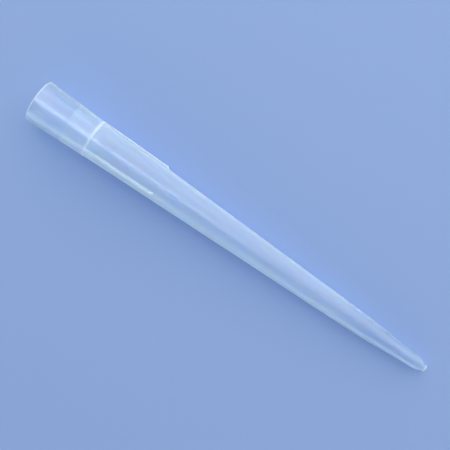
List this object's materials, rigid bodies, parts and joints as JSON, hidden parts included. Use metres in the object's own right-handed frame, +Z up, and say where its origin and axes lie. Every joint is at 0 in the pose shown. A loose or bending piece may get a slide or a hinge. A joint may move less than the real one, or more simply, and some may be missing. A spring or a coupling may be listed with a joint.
{
  "type": "pipette tip",
  "caption": "Long tapered pipette tip of translucent plastic, with a stepped collar, a raised ring, short ribs under it and a narrow rounded nozzle.",
  "frame": {"origin": "middle of the tip's length, on the surface that it lies on", "axes": "+X towards the nozzle end, +Z up, with the tip lying on its side; its own axis leans 1.63 degrees below +X"},
  "size_m": [0.1502, 0.0142, 0.0142],
  "materials": {
    "natural_polypropylene": "milky translucent, satin, slightly glossier on the collar"
  },
  "bodies": {
    "root": {"pipette_tip": "natural_polypropylene"}
  },
  "joints": []
}
